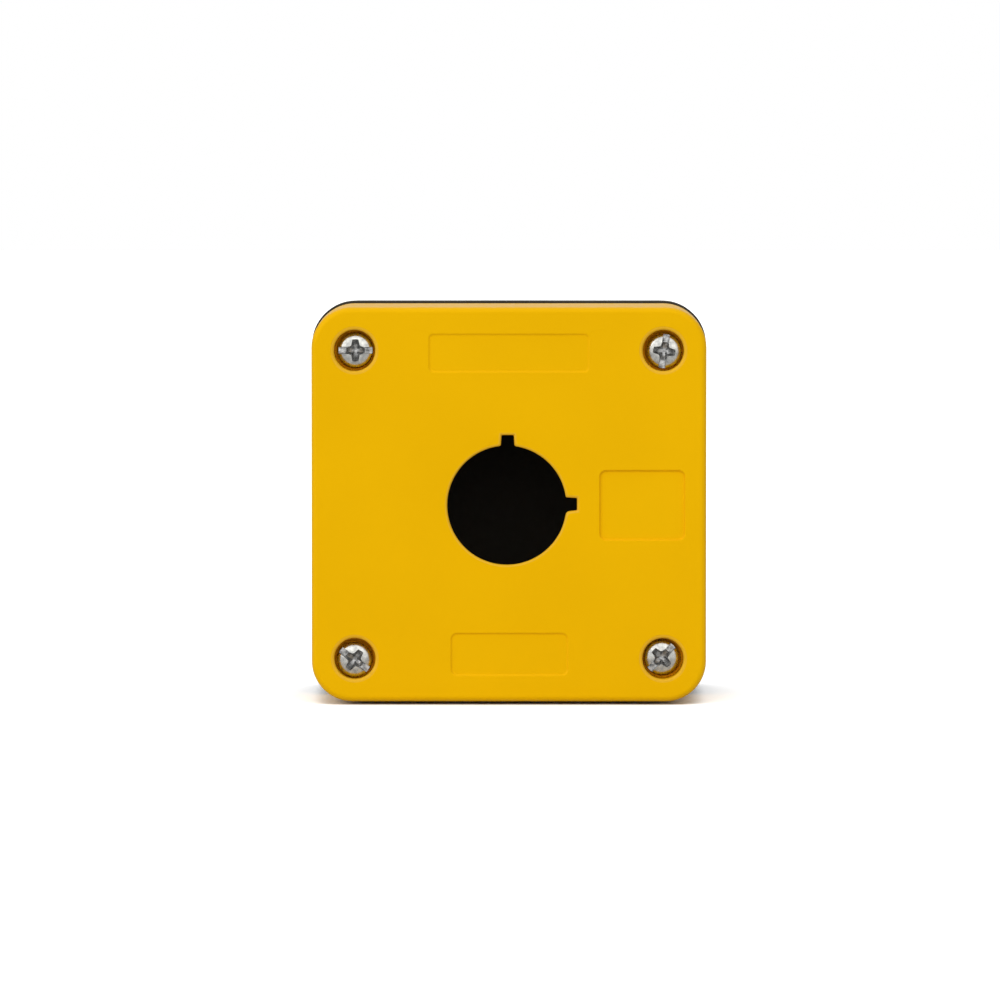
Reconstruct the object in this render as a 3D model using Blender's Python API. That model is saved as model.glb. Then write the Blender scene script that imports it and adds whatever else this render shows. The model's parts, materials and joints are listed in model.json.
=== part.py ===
"""One-hole control-station enclosure for a 22 mm push button.

A front cover closes on a rear housing through a perimeter gasket. Four captive screws run down the
cover's corner columns into brass inserts in the housing's pillars.

Lengths are in metres. +X is to the right, the device face looks along -Y and +Z is up. The origin is
the bottom centre of the closed box. Depths are counted from the device face towards the rear.
"""
import math

import bmesh
import bpy

# The closed box
TOTAL_DEPTH = 0.0530
PARTING_DEPTH = 0.0250
FRONT_HALF = 0.0370
FRONT_CORNER = 0.0076
COVER_RIM_HALF = 0.0372
RIM_HALF = 0.0376
RIM_CORNER = 0.0082
REAR_HALF = 0.0372
REAR_CORNER = 0.0078
FRONT_FILLET = 0.0011
REAR_FILLET = 0.0015
STRAIGHT_BAND = 0.0065
WALL = 0.0028
FRONT_PANEL = 0.0030
TOUCH_GAP = 0.0003
SIDE_GAP = 0.0002
CUT_MARGIN = 0.0011

# Seam between the two halves
LIP = 0.0009
REBATE_DEPTH = 0.0030
GASKET_THICKNESS = 0.0012

# Device hole and its locating keys: angle, and how far the key sits off the hole's centre line
HOLE_RADIUS = 0.01115
HOLE_X = -0.0004
HOLE_Z = -0.0001
KEY_REACH = 0.01315
KEY_END_HALF = 0.00115
KEY_ROOT_HALF = 0.00125
KEYS = ((0.0, 0.0002), (90.0, -0.00016))

# Label fields: name, centre x, centre z, half width, half height, corner radius, depth
LABELS = (
    ("legend_field", 0.0, 0.02843, 0.01503, 0.00358, 0.0009, 0.00025),
    ("side_field", 0.02498, -0.0001, 0.0080, 0.00656, 0.0012, 0.00045),
    ("plaque_field", 0.0001, -0.02809, 0.0110, 0.00399, 0.0012, 0.00030),
)

# Screw stations: name, side, level, slot angle, and the float of each screw in its clearance hole
SCREW_PITCH_HALF = 0.0289
CORNERS = (
    ("upper_left", -1, 1, 0.0, 0.00015, 0.0),
    ("upper_right", 1, 1, 81.5, 0.00018, -0.00015),
    ("lower_left", -1, -1, -35.7, -0.00009, -0.00030),
    ("lower_right", 1, -1, 45.4, -0.00027, 0.00012),
)
RECESS_RADIUS = 0.00385
RECESS_DEPTH = 0.0036
SEAT_RADIUS = 0.0034
SEAT_DEPTH = 0.0048
WEB = 0.0030
WEB_HOLE_RADIUS = 0.0020
COLUMN_RADIUS = 0.0062
COLUMN_BORE_RADIUS = 0.0035
COLUMN_END = 0.0219

# Screw, M3.5 x 0.6 with a slot and a cross
HEAD_DEPTH = 0.0010
HEAD_RADIUS = 0.0032
HEAD_HEIGHT = 0.0023
DOME_HEIGHT = 0.0007
DOME_POWER = 0.5
NECK_RADIUS = 0.0013
THREAD_RADIUS = 0.00175
THREAD_START = 0.0205
SCREW_LENGTH = 0.0304
TIP_CHAMFER = 0.0004
SLOT_HALF = 0.00063
SLOT_DEPTH = 0.0011
CROSS_REACH = 0.0020
CROSS_HALF = 0.00050
CROSS_DEPTH = 0.0019
CROSS_FLOOR_REACH = 0.00067
CROSS_FLOOR_HALF = 0.00030

# Rings on the screw
SEAL_RADIUS = 0.0030
SEAL_BORE = 0.0016
SEAL_THICKNESS = 0.0009
CAPTIVE_RADIUS = 0.0029
CAPTIVE_BORE = 0.00155
CAPTIVE_THICKNESS = 0.0010

# Pillars and threaded inserts
PILLAR_RADIUS = 0.0061
PILLAR_NOSE_RADIUS = 0.0050
PILLAR_NOSE_LENGTH = 0.0023
INSERT_RADIUS = 0.0026
INSERT_BORE = 0.00195
INSERT_LENGTH = 0.0080
INSERT_SINK = 0.0003
INSERT_GROOVE = 0.0003
POCKET_CLEARANCE = 0.0003
PILOT_RADIUS = 0.0021
PILOT_END = 0.0380

# Cable entries in the top and bottom walls
ENTRY_DEPTH = 0.0392
ENTRY_LAND_HALF = 0.0370
ENTRY_LAND_RADIUS = 0.0122
ENTRY_GROOVES = ((0.0109, 0.0102, 0.0009), (0.0086, 0.0081, 0.0006))

# Wall-fixing slots and their plugs: name, centre z, half width, half height
FIXINGS = (
    ("upper", 0.0240, 0.00225, 0.0035),
    ("lower", -0.0240, 0.0035, 0.00225),
)
PLUG_FLANGE = 0.0012
PLUG_EDGE = 0.0002
PLUG_SINK = 0.0007

# Facets
CORNER_STEPS = 6
FILLET_STEPS = 4
DOME_STEPS = 5
HOLE_STEPS = 48
COLUMN_STEPS = 24
ENTRY_STEPS = 32
SCREW_STEPS = 24
SEAL_SIDES = 6
WELD = 1e-6
SMOOTH_ANGLE = math.radians(35)

# Derived places
FRONT_Y = -TOTAL_DEPTH / 2
CENTRE_Z = RIM_HALF
CORNER_CENTRE = RIM_HALF - RIM_CORNER
CAVITY_HALF = COVER_RIM_HALF - WALL
LIP_HALF = COVER_RIM_HALF - LIP
TONGUE_HALF = LIP_HALF - SIDE_GAP
REBATE_START = PARTING_DEPTH - REBATE_DEPTH
GASKET_START = REBATE_START + TOUCH_GAP
TONGUE_TOP = GASKET_START + GASKET_THICKNESS + TOUCH_GAP
SHOULDER = PARTING_DEPTH + TOUCH_GAP
PILLAR_TOP = COLUMN_END + TOUCH_GAP
REAR_WALL_START = TOTAL_DEPTH - WALL


def rounded_rectangle(half_x, half_z, radius):
    """Points (x, z) round a rectangle with round corners."""
    points = []
    for corner in range(4):
        centre_x = (half_x - radius) * (1 if corner in (0, 3) else -1)
        centre_z = (half_z - radius) * (1 if corner in (0, 1) else -1)
        for step in range(CORNER_STEPS + 1):
            angle = math.radians(90 * (corner + step / CORNER_STEPS))
            points.append((centre_x + radius * math.cos(angle), centre_z + radius * math.sin(angle)))
    return points


def rim_outline(half):
    """A rounded square that stays parallel to the box's rim."""
    return rounded_rectangle(half, half, half - CORNER_CENTRE)


def circle(radius, steps):
    """Points (x, z) round a circle."""
    angles = [math.tau * step / steps for step in range(steps)]
    return [(radius * math.cos(angle), radius * math.sin(angle)) for angle in angles]


def spun(x, z, angle):
    """A point turned about the origin."""
    return (x * math.cos(angle) - z * math.sin(angle), x * math.sin(angle) + z * math.cos(angle))


def keyed_circle():
    """The device hole's outline: a circle with a square key at each angle in KEYS."""
    points = []
    for index, (key_angle, shift) in enumerate(KEYS):
        turn = math.radians(key_angle)
        before = math.asin((KEY_ROOT_HALF - shift) / HOLE_RADIUS)
        after = math.asin((KEY_ROOT_HALF + shift) / HOLE_RADIUS)
        key = (
            (HOLE_RADIUS * math.cos(before), shift - KEY_ROOT_HALF),
            (KEY_REACH, shift - KEY_END_HALF),
            (KEY_REACH, shift + KEY_END_HALF),
            (HOLE_RADIUS * math.cos(after), shift + KEY_ROOT_HALF),
        )
        for out, side in key:
            points.append(spun(out, side, turn))
        next_angle, next_shift = KEYS[(index + 1) % len(KEYS)]
        arc_start = turn + after
        arc_end = math.radians(next_angle) - math.asin((KEY_ROOT_HALF - next_shift) / HOLE_RADIUS)
        if arc_end < arc_start:
            arc_end += math.tau
        steps = round(HOLE_STEPS * (arc_end - arc_start) / math.tau)
        for step in range(1, steps):
            angle = arc_start + (arc_end - arc_start) * step / steps
            points.append((HOLE_RADIUS * math.cos(angle), HOLE_RADIUS * math.sin(angle)))
    return points


def ring(outline, depth, x=0.0, z=0.0):
    """An outline placed at a depth, round the point (x, z)."""
    return [(x + point[0], depth, z + point[1]) for point in outline]


def turned(profile, x=0.0, z=0.0, steps=COLUMN_STEPS):
    """Rings of a body turned round the depth axis, from (depth, radius) pairs."""
    return [ring(circle(radius, steps), depth, x, z) for depth, radius in profile]


def skin(body, rings, hollow):
    """Join rings into a closed skin: capped at both ends, or joined end to end when hollow."""
    loops = [[body.verts.new(point) for point in points] for points in rings]
    following_loops = loops[1:] + loops[:1] if hollow else loops[1:]
    for first, second in zip(loops, following_loops):
        for index in range(len(first)):
            following = (index + 1) % len(first)
            body.faces.new((first[index], first[following], second[following], second[index]))
    if not hollow:
        body.faces.new(loops[0])
        body.faces.new(loops[-1])


def solid(name, stacks, material=None, hollow=False):
    """An object made of one closed skin for each stack of rings."""
    body = bmesh.new()
    for rings in stacks:
        skin(body, rings, hollow)
    bmesh.ops.remove_doubles(body, verts=body.verts, dist=WELD)
    bmesh.ops.recalc_face_normals(body, faces=body.faces)
    mesh = bpy.data.meshes.new(name)
    body.to_mesh(mesh)
    body.free()
    mesh.shade_smooth()
    mesh.set_sharp_from_angle(angle=SMOOTH_ANGLE)
    if material is not None:
        mesh.materials.append(material)
    return place(name, mesh)


def place(name, mesh, parent=None, depth=0.0):
    """Link a mesh, or an empty where there is none, at a depth on its parent's axis."""
    item = bpy.data.objects.new(name, mesh)
    bpy.context.scene.collection.objects.link(item)
    item.parent = parent
    item.location.y = depth
    return item


def combine(target, tool, operation):
    """Add or remove a tool body, which stays in the scene as a guide on its target."""
    modifier = target.modifiers.new(tool.name, "BOOLEAN")
    modifier.operation = operation
    modifier.solver = "EXACT"
    modifier.object = tool
    tool.parent = target
    tool.hide_render = True
    tool.display_type = "WIRE"


def applied_mesh(item):
    """The object's mesh with its modifiers applied; the object and its tools are removed."""
    evaluated = item.evaluated_get(bpy.context.evaluated_depsgraph_get())
    mesh = bpy.data.meshes.new_from_object(evaluated)
    for tool in list(item.children):
        bpy.data.objects.remove(tool)
    bpy.data.objects.remove(item)
    return mesh


def principled(name, colour, roughness, metallic=0.0):
    """A Principled material from a linear colour, a roughness and a metallic value."""
    material = bpy.data.materials.new(name)
    material.use_nodes = True
    shader = material.node_tree.nodes["Principled BSDF"]
    shader.inputs["Base Color"].default_value = (*colour, 1.0)
    shader.inputs["Roughness"].default_value = roughness
    shader.inputs["Metallic"].default_value = metallic
    material.diffuse_color = (*colour, 1.0)
    return material


def fillet_rings(half, corner, radius, depth, towards):
    """Rounded squares that turn a box's edge, from its flat end towards the rear (+1) or the front (-1)."""
    rings = []
    for step in range(FILLET_STEPS + 1):
        angle = math.radians(90 * step / FILLET_STEPS)
        inset = radius * (1 - math.sin(angle))
        run = radius * (1 - math.cos(angle)) * towards
        rings.append(ring(rounded_rectangle(half - inset, half - inset, corner - inset), depth + run))
    return rings


def nominal_places():
    """The four recess centres in the cover, from the box's centre."""
    return [(side * SCREW_PITCH_HALF, level * SCREW_PITCH_HALF) for _, side, level, _, _, _ in CORNERS]


def screw_places():
    """The four screw axes, each with its own float in the cover's clearance hole."""
    return [
        (side * SCREW_PITCH_HALF + float_x, level * SCREW_PITCH_HALF + float_z)
        for _, side, level, _, float_x, float_z in CORNERS
    ]


def front_cover(material):
    """The cover: a drafted shell with corner columns, the keyed hole and the label fields."""
    rings = fillet_rings(FRONT_HALF, FRONT_CORNER, FRONT_FILLET, 0.0, 1)
    rings.append(ring(rim_outline(COVER_RIM_HALF), PARTING_DEPTH - STRAIGHT_BAND))
    rings.append(ring(rim_outline(COVER_RIM_HALF), PARTING_DEPTH))
    cover = solid("front_cover", [rings], material)
    past_rim = PARTING_DEPTH + CUT_MARGIN
    cavity = [
        ring(rim_outline(CAVITY_HALF), FRONT_PANEL),
        ring(rim_outline(CAVITY_HALF), REBATE_START),
        ring(rim_outline(LIP_HALF), REBATE_START),
        ring(rim_outline(LIP_HALF), past_rim),
    ]
    combine(cover, solid("cover_cavity", [cavity]), "DIFFERENCE")
    column = ((FRONT_PANEL / 2, COLUMN_RADIUS), (COLUMN_END, COLUMN_RADIUS))
    columns = [turned(column, x, z) for x, z in nominal_places()]
    combine(cover, solid("cover_columns", columns), "UNION")
    web_back = SEAT_DEPTH + WEB
    station = (
        (-CUT_MARGIN, RECESS_RADIUS), (RECESS_DEPTH, RECESS_RADIUS),
        (RECESS_DEPTH, SEAT_RADIUS), (SEAT_DEPTH, SEAT_RADIUS),
        (SEAT_DEPTH, WEB_HOLE_RADIUS), (web_back, WEB_HOLE_RADIUS),
        (web_back, COLUMN_BORE_RADIUS), (past_rim, COLUMN_BORE_RADIUS),
    )
    bores = [turned(station, x, z) for x, z in nominal_places()]
    combine(cover, solid("cover_bores", bores), "DIFFERENCE")
    hole = keyed_circle()
    hole_rings = [ring(hole, depth, HOLE_X, HOLE_Z) for depth in (-CUT_MARGIN, 2 * FRONT_PANEL)]
    combine(cover, solid("device_hole", [hole_rings]), "DIFFERENCE")
    for name, x, z, half_x, half_z, corner, depth in LABELS:
        outline = rounded_rectangle(half_x, half_z, corner)
        field = [ring(outline, end, x, z) for end in (-CUT_MARGIN, depth)]
        combine(cover, solid(name, [field]), "DIFFERENCE")
    return cover


def rear_housing(material):
    """The housing: a drafted shell with a tongue, four pillars, cable entries and fixing slots."""
    rings = [
        ring(rim_outline(TONGUE_HALF), TONGUE_TOP),
        ring(rim_outline(TONGUE_HALF), SHOULDER),
        ring(rim_outline(RIM_HALF), SHOULDER),
        ring(rim_outline(RIM_HALF), SHOULDER + STRAIGHT_BAND),
    ]
    rings += reversed(fillet_rings(REAR_HALF, REAR_CORNER, REAR_FILLET, TOTAL_DEPTH, -1))
    housing = solid("rear_housing", [rings], material)
    cavity = [ring(rim_outline(CAVITY_HALF), depth) for depth in (REBATE_START, REAR_WALL_START)]
    combine(housing, solid("housing_cavity", [cavity]), "DIFFERENCE")
    nose_end = PILLAR_TOP + PILLAR_NOSE_LENGTH
    pillar = (
        (PILLAR_TOP, PILLAR_NOSE_RADIUS), (nose_end, PILLAR_NOSE_RADIUS),
        (nose_end, PILLAR_RADIUS), (REAR_WALL_START + WALL / 2, PILLAR_RADIUS),
    )
    pillars = [turned(pillar, x, z) for x, z in screw_places()]
    combine(housing, solid("housing_pillars", pillars), "UNION")
    pocket_radius = INSERT_RADIUS + POCKET_CLEARANCE
    pocket_end = PILLAR_TOP + INSERT_SINK + INSERT_LENGTH + TOUCH_GAP
    pocket = (
        (REBATE_START, pocket_radius), (pocket_end, pocket_radius),
        (pocket_end, PILOT_RADIUS), (PILOT_END, PILOT_RADIUS),
    )
    pockets = [turned(pocket, x, z) for x, z in screw_places()]
    combine(housing, solid("insert_pockets", pockets), "DIFFERENCE")
    for level in (1, -1):
        combine(housing, cable_entry(level), "DIFFERENCE")
    for name, z, half_x, half_z in FIXINGS:
        outline = rounded_rectangle(half_x, half_z, min(half_x, half_z))
        slot = [ring(outline, depth, 0.0, z) for depth in (REAR_WALL_START - WALL, TOTAL_DEPTH + WALL)]
        combine(housing, solid(f"fixing_slot_{name}", [slot]), "DIFFERENCE")
    return housing


def cable_entry(level):
    """The tool of one cable entry: a flat round land with knock-out grooves sunk in it."""
    profile = [(RIM_HALF + WALL, ENTRY_LAND_RADIUS), (ENTRY_LAND_HALF, ENTRY_LAND_RADIUS)]
    for outer, inner, groove in ENTRY_GROOVES:
        floor = ENTRY_LAND_HALF - groove
        profile += [(ENTRY_LAND_HALF, outer), (floor, outer), (floor, inner), (ENTRY_LAND_HALF, inner)]
    side = "top" if level > 0 else "bottom"
    tool = solid(f"cable_entry_{side}", [turned(profile, steps=ENTRY_STEPS)])
    tool.location.y = ENTRY_DEPTH
    tool.rotation_euler.x = math.radians(90 * level)
    return tool


def cover_gasket(material):
    """The flat sealing ring that the housing's tongue presses into the cover's rebate."""
    outer = rim_outline(TONGUE_HALF)
    inner = rim_outline(CAVITY_HALF + SIDE_GAP)
    gasket_end = GASKET_START + GASKET_THICKNESS
    section = ((outer, GASKET_START), (outer, gasket_end), (inner, gasket_end), (inner, GASKET_START))
    rings = [ring(outline, depth) for outline, depth in section]
    return solid("cover_gasket", [rings], material, hollow=True)


def blade(half_x, half_z):
    """The four corners of a rectangle, for one section of a drive cutter."""
    return [(half_x, half_z), (-half_x, half_z), (-half_x, -half_z), (half_x, -half_z)]


def screw_mesh(material):
    """The captive screw, from its head's top along its own axis, with its drive cut in."""
    dome = []
    for step in range(1, DOME_STEPS + 1):
        angle = math.radians(90 * step / DOME_STEPS)
        dome.append((DOME_HEIGHT * (1 - math.cos(angle)), HEAD_RADIUS * math.sin(angle) ** DOME_POWER))
    profile = dome + [
        (HEAD_HEIGHT, HEAD_RADIUS), (HEAD_HEIGHT, NECK_RADIUS),
        (THREAD_START, NECK_RADIUS), (THREAD_START + TIP_CHAMFER, THREAD_RADIUS),
        (SCREW_LENGTH - TIP_CHAMFER, THREAD_RADIUS), (SCREW_LENGTH, NECK_RADIUS),
    ]
    screw = solid("screw_blank", [turned(profile, steps=SCREW_STEPS)], material)
    slot = [ring(blade(2 * HEAD_RADIUS, SLOT_HALF), depth) for depth in (-CUT_MARGIN, SLOT_DEPTH)]
    combine(screw, solid("slot", [slot]), "DIFFERENCE")
    wings = (
        (-CUT_MARGIN, CROSS_REACH, CROSS_HALF),
        (CROSS_DEPTH, CROSS_FLOOR_REACH, CROSS_FLOOR_HALF),
    )
    level = [ring(blade(reach, half), depth) for depth, reach, half in wings]
    upright = [ring(blade(half, reach), depth) for depth, reach, half in wings]
    for name, rings in (("cross_level", level), ("cross_upright", upright)):
        combine(screw, solid(name, [rings]), "DIFFERENCE")
    return applied_mesh(screw)


def ring_mesh(name, profile, material):
    """A turned ring with a bore, from a closed (depth, radius) profile."""
    return applied_mesh(solid(name, [turned(profile, steps=SCREW_STEPS)], material, hollow=True))


def seal_mesh(material):
    """The sealing ring under a screw's head, with a rounded section."""
    middle = (SEAL_RADIUS + SEAL_BORE) / 2
    half_width = (SEAL_RADIUS - SEAL_BORE) / 2
    section = circle(1.0, SEAL_SIDES)
    profile = [(SEAL_THICKNESS / 2 * (1 + along), middle + half_width * out) for out, along in section]
    return ring_mesh("seal", profile, material)


def captive_mesh(material):
    """The retaining washer that the thread can't pass."""
    profile = ((0.0, CAPTIVE_BORE), (0.0, CAPTIVE_RADIUS))
    profile += ((CAPTIVE_THICKNESS, CAPTIVE_RADIUS), (CAPTIVE_THICKNESS, CAPTIVE_BORE))
    return ring_mesh("captive", profile, material)


def insert_mesh(material):
    """The threaded insert, with a retaining groove round its middle."""
    groove_floor = INSERT_RADIUS - INSERT_GROOVE
    groove_start = INSERT_LENGTH / 2 - 2 * INSERT_GROOVE
    groove_end = INSERT_LENGTH / 2 + 2 * INSERT_GROOVE
    profile = (
        (0.0, INSERT_BORE), (0.0, INSERT_RADIUS),
        (groove_start - INSERT_GROOVE, INSERT_RADIUS), (groove_start, groove_floor),
        (groove_end, groove_floor), (groove_end + INSERT_GROOVE, INSERT_RADIUS),
        (INSERT_LENGTH - INSERT_GROOVE, INSERT_RADIUS), (INSERT_LENGTH, groove_floor),
        (INSERT_LENGTH, INSERT_BORE),
    )
    return ring_mesh("insert", profile, material)


def mounting_plug(name, z, half_x, half_z, material):
    """A rubber plug in a wall-fixing slot: a flange inside the rear wall and a stem through it."""
    radius = min(half_x, half_z)
    flange_back = REAR_WALL_START - TOUCH_GAP
    sections = (
        (flange_back - PLUG_FLANGE, PLUG_FLANGE - PLUG_EDGE),
        (flange_back - PLUG_FLANGE + PLUG_EDGE, PLUG_FLANGE),
        (flange_back, PLUG_FLANGE),
        (flange_back, -TOUCH_GAP),
        (TOTAL_DEPTH - PLUG_SINK - PLUG_EDGE, -TOUCH_GAP),
        (TOTAL_DEPTH - PLUG_SINK, -TOUCH_GAP - PLUG_EDGE),
    )
    rings = []
    for depth, grow in sections:
        outline = rounded_rectangle(half_x + grow, half_z + grow, radius + grow)
        rings.append(ring(outline, depth, 0.0, z))
    return solid(f"mounting_plug_{name}", [rings], material)


def screw_stations(materials):
    """The screw, seal, captive washer and insert of each corner, on one axis."""
    screw = screw_mesh(materials["zinc"])
    seal = seal_mesh(materials["rubber"])
    captive = captive_mesh(materials["nylon"])
    insert = insert_mesh(materials["brass"])
    seal_depth = SEAT_DEPTH - TOUCH_GAP - SEAL_THICKNESS
    captive_depth = SEAT_DEPTH + WEB + TOUCH_GAP
    for (name, _, _, slot_angle, _, _), (x, z) in zip(CORNERS, screw_places()):
        axis = place(f"screw_axis_{name}", None)
        axis.location = (x, FRONT_Y, CENTRE_Z + z)
        item = place(f"cover_screw_{name}", screw, axis, HEAD_DEPTH)
        item.rotation_euler.y = math.radians(-slot_angle)
        place(f"screw_seal_{name}", seal, axis, seal_depth)
        place(f"captive_washer_{name}", captive, axis, captive_depth)
        place(f"threaded_insert_{name}", insert, axis, PILLAR_TOP + INSERT_SINK)


def build():
    """Clear the scene and make the whole enclosure."""
    for item in list(bpy.data.objects):
        bpy.data.objects.remove(item)
    materials = {
        "cover": principled("cover_plastic", (0.80, 0.43, 0.005), 0.42),
        "housing": principled("housing_plastic", (0.022, 0.022, 0.023), 0.50),
        "rubber": principled("seal_rubber", (0.012, 0.012, 0.012), 0.75),
        "zinc": principled("zinc_plate", (0.68, 0.69, 0.70), 0.25, 1.0),
        "nylon": principled("natural_nylon", (0.72, 0.70, 0.62), 0.50),
        "brass": principled("brass", (0.72, 0.50, 0.20), 0.30, 1.0),
    }
    parts = [front_cover(materials["cover"]), rear_housing(materials["housing"])]
    parts.append(cover_gasket(materials["rubber"]))
    for name, z, half_x, half_z in FIXINGS:
        parts.append(mounting_plug(name, z, half_x, half_z, materials["rubber"]))
    for item in parts:
        item.location = (0.0, FRONT_Y, CENTRE_Z)
    screw_stations(materials)


build()
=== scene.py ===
"""Visual model of a one-hole control-station enclosure, built round its CAD frame.

Lengths are in metres. Depths are counted from the device face towards the rear, and (x, z) from the
centre of the box seen from the front.
"""
import json
import math

import bmesh
import bpy
from mathutils import Matrix, Vector


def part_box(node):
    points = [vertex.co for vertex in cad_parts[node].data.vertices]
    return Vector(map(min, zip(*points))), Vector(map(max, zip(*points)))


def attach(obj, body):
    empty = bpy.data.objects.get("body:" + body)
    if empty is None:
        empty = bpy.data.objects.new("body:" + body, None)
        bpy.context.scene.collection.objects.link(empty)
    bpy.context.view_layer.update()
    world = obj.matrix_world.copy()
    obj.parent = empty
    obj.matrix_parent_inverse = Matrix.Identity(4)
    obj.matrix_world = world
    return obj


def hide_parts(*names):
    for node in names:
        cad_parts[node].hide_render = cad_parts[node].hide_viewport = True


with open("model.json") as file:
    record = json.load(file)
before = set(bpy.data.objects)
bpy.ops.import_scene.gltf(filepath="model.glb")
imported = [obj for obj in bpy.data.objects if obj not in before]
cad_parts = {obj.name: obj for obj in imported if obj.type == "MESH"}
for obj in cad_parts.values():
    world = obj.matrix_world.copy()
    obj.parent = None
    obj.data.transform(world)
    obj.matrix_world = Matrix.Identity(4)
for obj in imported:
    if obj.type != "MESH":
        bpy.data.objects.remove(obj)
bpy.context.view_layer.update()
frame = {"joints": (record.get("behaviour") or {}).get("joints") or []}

# Places read from the frame
cover_low, cover_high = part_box("front_cover")
housing_low, housing_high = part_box("rear_housing")
gasket_low, gasket_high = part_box("cover_gasket")
FRONT_Y = cover_low.y
CENTRE_Z = (cover_low.z + cover_high.z) / 2
COVER_RIM_HALF = cover_high.x
RIM_HALF = housing_high.x
PARTING_DEPTH = cover_high.y - FRONT_Y
# A known fault: this is the pillars' top. The CAD's tongue ends 1.6 mm further back, clear of the gasket.
TONGUE_TOP = housing_low.y - FRONT_Y
TOTAL_DEPTH = housing_high.y - FRONT_Y

# The moulded shells
FRONT_HALF = 0.0370
FRONT_CORNER = 0.0076
RIM_CORNER = 0.0082
REAR_HALF = 0.0372
REAR_CORNER = 0.0078
FRONT_FILLET = 0.0011
REAR_FILLET = 0.0015
STRAIGHT_BAND = 0.0065
WALL = 0.0028
FRONT_PANEL = 0.0030
LIP = 0.0009
SEAM_GAP = 0.0003
REBATE_DEPTH = 0.0030
EDGE = 0.00012
CAVITY_HALF = COVER_RIM_HALF - WALL

# Device hole and its keys: angle, how far the key sits off the hole's centre line, and its root rounds
HOLE_RADIUS = 0.01115
HOLE_X = -0.0004
HOLE_Z = -0.0001
KEY_REACH = 0.01315
KEY_END_HALF = 0.00115
KEY_ROOT_HALF = 0.00125
KEY_END_ROUND = 0.00022
HOLE_EDGE = 0.00045
HOLE_DRAFT = 0.00018
KEYS = ((0.0, 0.0002, 0.0009, 0.00035), (90.0, -0.00016, 0.00045, 0.00045))

# Label fields: centre x, centre z, half width, half height, corner radius, depth
LABELS = (
    (0.0, 0.02843, 0.01503, 0.00358, 0.0009, 0.00022),
    (0.02498, -0.0001, 0.0080, 0.00656, 0.0012, 0.00040),
    (0.0001, -0.02809, 0.0110, 0.00399, 0.0012, 0.00026),
)

# A label field's edge: how far outside the field's line, and the share of its depth
LABEL_EDGE = (
    (0.00016, 0.0), (0.00010, 0.04), (0.00004, 0.13), (-0.00002, 0.28), (-0.00012, 0.62),
    (-0.00020, 0.84), (-0.00027, 0.95), (-0.00034, 1.0),
)

# Screw stations: the side of the box each is on, and the angle of its screw's slot in degrees
SCREW_PITCH_HALF = 0.0289
CORNER_SIDES = {
    "upper_left": (-1, 1), "upper_right": (1, 1), "lower_left": (-1, -1), "lower_right": (1, -1),
}
SLOT_ANGLES = {"upper_left": 0.0, "upper_right": 81.5, "lower_left": -35.7, "lower_right": 45.4}
RECESS_RADIUS = 0.00385
RECESS_DEPTH = 0.0036
RECESS_ROUND = 0.0002
SEAT_RADIUS = 0.0034
SEAT_DEPTH = 0.0048
WEB = 0.0030
WEB_HOLE_RADIUS = 0.0020
COLUMN_RADIUS = 0.0062
COLUMN_BORE_RADIUS = 0.0035

# A recess's dished rim: depth and radius
RECESS_RIM = (
    (0.0, 0.00450), (0.00005, 0.00444), (0.00005, 0.00430), (0.00009, 0.00415), (0.00018, 0.00402),
    (0.00030, 0.00392), (0.00048, RECESS_RADIUS),
)

# Screws: HEAD_CROWN is how far the finer head stands in front of the CAD's, TIP_LENGTH is how far the
# tapered tip reaches past the thread, and TIP_SHARE is its end's radius as a share of the neck's
HEAD_RADIUS = 0.0032
HEAD_HEIGHT = 0.0023
HEAD_CROWN = 0.0001
DOME_HEIGHT = 0.00095
DOME_POWER = 0.5
NECK_RADIUS = 0.0013
THREAD_RADIUS = 0.00175
THREAD_ROOT = 0.00138
THREAD_PITCH = 0.0006
THREAD_START = 0.0205
FLANK_SLOPE = 2.6
ROOT_SHARE = 0.5
TIP_LENGTH = 0.0002
TIP_SHARE = 0.8
SLOT_HALF = 0.00063
SLOT_DEPTH = 0.00095
SLOT_ROUND = 0.00006
DRIVE_CLEARANCE = 0.0008

# The cross recess: depth under the head's crown, and the wings' reach and half width there; the shares
# of both that the corners at a wing's tip keep
CROSS_WINGS = (
    (-0.0006, 0.00225, 0.00078), (0.0002, 0.00208, 0.00068), (0.0015, 0.00150, 0.00052),
    (0.0019, 0.00095, 0.00042), (0.0022, 0.00035, 0.00022),
)
WING_TIP_REACH = 0.97
WING_TIP_HALF = 0.8

# Seals, captive washers, pillars and inserts; every KNURL_STEP-th point of a knurl is cut back
SEAL_BORE = 0.0016
SEAL_STEPS = 16
WASHER_BORE = 0.00155
WASHER_EDGE = 0.0001
PILLAR_RADIUS = 0.0061
PILLAR_NOSE_RADIUS = 0.0050
PILLAR_NOSE_LENGTH = 0.0023
POCKET_RADIUS = 0.0029
PILOT_RADIUS = 0.0021
PILOT_END = 0.0380
INSERT_BORE = 0.00195
INSERT_CREST = 0.0018
INSERT_CHAMFER = 0.0004
INSERT_MOUTH = 0.0002
KNURL_DEPTH = 0.00012
KNURL_STEP = 3
KNURL_GROOVE = 0.0006
KNURL_GROOVE_DEPTH = 0.0003

# Cable entries: depth of the axis, level of the flat land, and (outer, inner, depth) of each groove
ENTRY_DEPTH = 0.0392
ENTRY_LAND_HALF = 0.0370
ENTRY_LAND_RADIUS = 0.0122
ENTRY_GROOVES = ((0.0109, 0.0102, 0.0009), (0.0086, 0.0081, 0.0006))

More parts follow.
